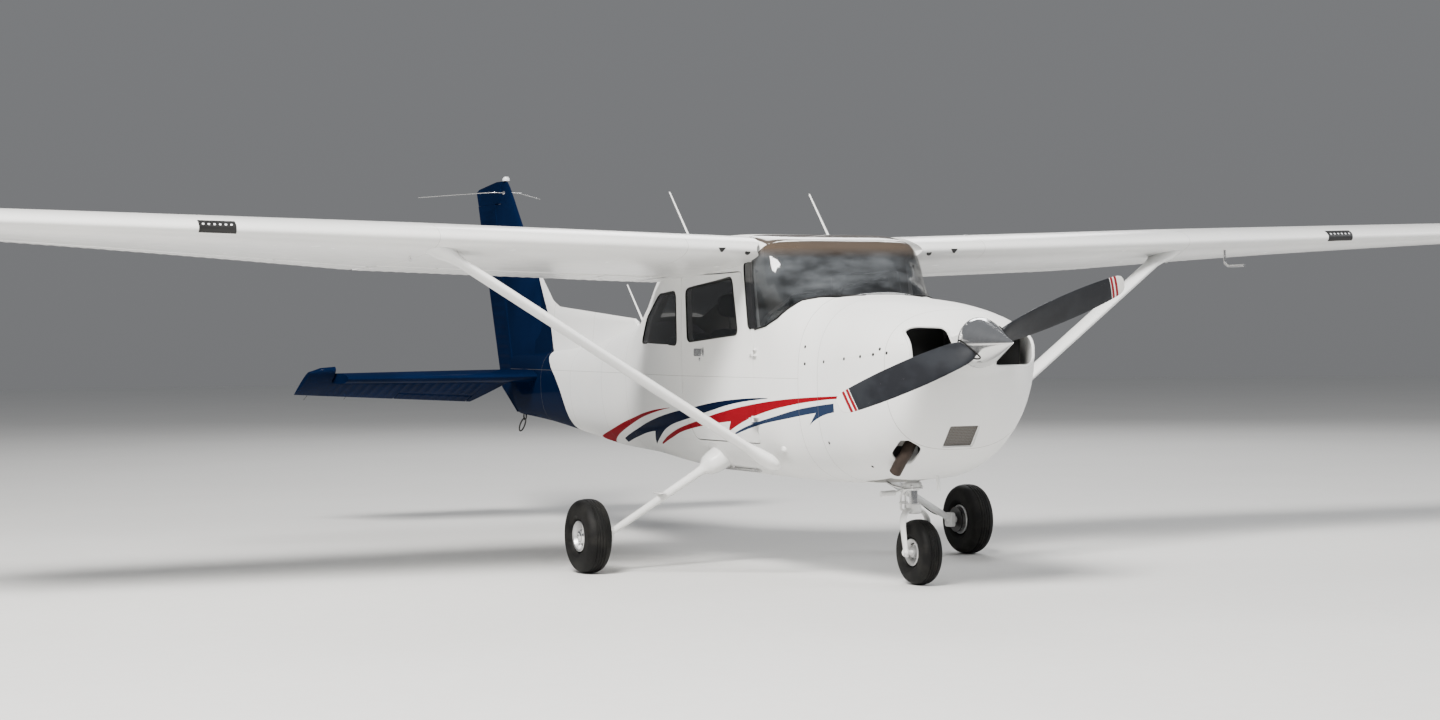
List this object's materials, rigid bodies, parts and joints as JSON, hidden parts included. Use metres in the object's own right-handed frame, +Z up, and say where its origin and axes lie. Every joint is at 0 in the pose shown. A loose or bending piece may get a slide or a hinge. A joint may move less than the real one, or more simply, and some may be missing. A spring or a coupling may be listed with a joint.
{
  "type": "light aircraft",
  "caption": "Single-engined high-wing light aircraft with four seats, wing struts, a fixed nose-wheel gear, opening doors and moving control surfaces.",
  "frame": {"origin": "on the ground, on the centre plane, midway between the tip of the spinner and the rearmost point of the rudder", "axes": "+X along the left wing, +Y towards the tail, +Z up"},
  "size_m": [10.922, 8.1556, 2.6883],
  "materials": {
    "white_paint": "gloss white paint on sheet aluminium",
    "navy_paint": "gloss navy paint on sheet aluminium",
    "window": "clear acrylic with a light smoke tint",
    "tyre_rubber": "matt black rubber",
    "wheel_metal": "cast, satin",
    "engine_metal": "plain block that stands for the engine",
    "filter_mesh": "dark wire mesh over the engine's air intake",
    "exhaust_metal": "heat-stained steel",
    "blade_metal": "satin black-grey with white tips and red bands",
    "polished_metal": "mirror polished",
    "black_panel": "matt black",
    "seat_cloth": "woven cloth and vinyl",
    "red_lens": "red lens"
  },
  "bodies": {
    "airframe": {"cabin_floor": "white_paint", "forward_fuselage": "white_paint", "cabin_roof": "white_paint", "windshield": "window", "rear_window": "window", "tail_cone": "navy_paint", "fin": "navy_paint", "stabilizer": "navy_paint", "beacon": "red_lens", "nose_strut": "white_paint", "cowl_upper": "white_paint", "cowl_lower": "white_paint", "engine": "engine_metal", "air_filter": "filter_mesh", "exhaust_pipe": "exhaust_metal", "instrument_panel": "black_panel", "rear_bench": "seat_cloth", "rear_side_left": "white_paint", "rear_side_right": "white_paint", "quarter_window_left": "window", "quarter_window_right": "window", "wing_left": "white_paint", "wing_right": "white_paint", "wing_strut_left": "white_paint", "wing_strut_right": "white_paint", "main_leg_left": "white_paint", "main_leg_right": "white_paint", "front_seat_left": "seat_cloth", "front_seat_right": "seat_cloth"},
    "door_left": {"cabin_door_left": "white_paint", "door_window_left": "window"},
    "door_right": {"cabin_door_right": "white_paint", "door_window_right": "window"},
    "baggage_hatch": {"baggage_door": "white_paint"},
    "rudder": {"rudder": "navy_paint"},
    "elevator": {"elevator": "navy_paint"},
    "trim_tab": {"trim_tab": "navy_paint"},
    "flap_left": {"flap_left": "white_paint"},
    "flap_right": {"flap_right": "white_paint"},
    "aileron_left": {"aileron_left": "white_paint"},
    "aileron_right": {"aileron_right": "white_paint"},
    "steering": {"nose_fork": "white_paint"},
    "nose_wheel": {"nose_tyre": "tyre_rubber", "nose_rim": "wheel_metal"},
    "main_wheel_left": {"main_tyre_left": "tyre_rubber", "main_rim_left": "wheel_metal"},
    "main_wheel_right": {"main_tyre_right": "tyre_rubber", "main_rim_right": "wheel_metal"},
    "propeller": {"propeller": "blade_metal", "spinner": "polished_metal"}
  },
  "joints": [
    {"name": "propeller_spin", "type": "hinge", "parent": "airframe", "child": "propeller", "pos_m": [0, -3.7945, 1.382], "axis": [0, -1, 0], "continuous": true},
    {"name": "nose_steer", "type": "hinge", "parent": "airframe", "child": "steering", "pos_m": [0, -3.0075, 0.305], "axis": [0, 0.0721, 0.9974], "range_deg": [-30, 30]},
    {"name": "nose_wheel_spin", "type": "hinge", "parent": "steering", "child": "nose_wheel", "pos_m": [0, -3.0525, 0.187], "axis": [1, 0, 0], "continuous": true},
    {"name": "main_wheel_left_spin", "type": "hinge", "parent": "airframe", "child": "main_wheel_left", "pos_m": [1.335, -1.3595, 0.225], "axis": [1, 0, 0], "continuous": true},
    {"name": "main_wheel_right_spin", "type": "hinge", "parent": "airframe", "child": "main_wheel_right", "pos_m": [-1.335, -1.3595, 0.225], "axis": [1, 0, 0], "continuous": true},
    {"name": "aileron_left_turn", "type": "hinge", "parent": "airframe", "child": "aileron_left", "pos_m": [2.562, -0.8627, 1.9097], "axis": [0.9935, -0.0981, 0.058], "range_deg": [-15, 20]},
    {"name": "aileron_right_turn", "type": "hinge", "parent": "airframe", "child": "aileron_right", "pos_m": [-2.562, -0.8627, 1.9097], "axis": [-0.9935, -0.0981, 0.058], "range_deg": [-20, 15]},
    {"name": "flap_left_turn", "type": "hinge", "parent": "airframe", "child": "flap_left", "pos_m": [0.664, -0.9524, 1.7259], "axis": [-0.9993, -0.0005, -0.0363], "range_deg": [0, 40]},
    {"name": "flap_right_turn", "type": "hinge", "parent": "airframe", "child": "flap_right", "pos_m": [-0.664, -0.9524, 1.7259], "axis": [-0.9993, 0.0005, 0.0363], "range_deg": [0, 40]},
    {"name": "elevator_turn", "type": "hinge", "parent": "airframe", "child": "elevator", "pos_m": [0, 3.1415, 1.13], "axis": [1, 0, 0], "range_deg": [0, 51]},
    {"name": "trim_tab_turn", "type": "hinge", "parent": "elevator", "child": "trim_tab", "pos_m": [-0.59, 3.4628, 0.9936], "axis": [0.9896, 0.1322, -0.0561], "range_deg": [-13, 28]},
    {"name": "rudder_turn", "type": "hinge", "parent": "airframe", "child": "rudder", "pos_m": [0, 3.4345, 1.829], "axis": [0, 0.2837, 0.9589], "range_deg": [-17.7, 17.7]},
    {"name": "door_left_swing", "type": "hinge", "parent": "airframe", "child": "door_left", "pos_m": [0.566, -2.0725, 1.13], "axis": [0, 0, -1], "range_deg": [0, 80]},
    {"name": "door_right_swing", "type": "hinge", "parent": "airframe", "child": "door_right", "pos_m": [-0.566, -2.0725, 1.13], "axis": [0, 0, 1], "range_deg": [0, 80]},
    {"name": "baggage_door_swing", "type": "hinge", "parent": "airframe", "child": "baggage_hatch", "pos_m": [0.544, -0.8275, 1.075], "axis": [0, 0, -1], "range_deg": [0, 85]}
  ],
  "couplings": [
    {"joint": "aileron_right_turn", "follows": "aileron_left_turn", "ratio": 0.75},
    {"joint": "flap_right_turn", "follows": "flap_left_turn", "ratio": 1}
  ]
}
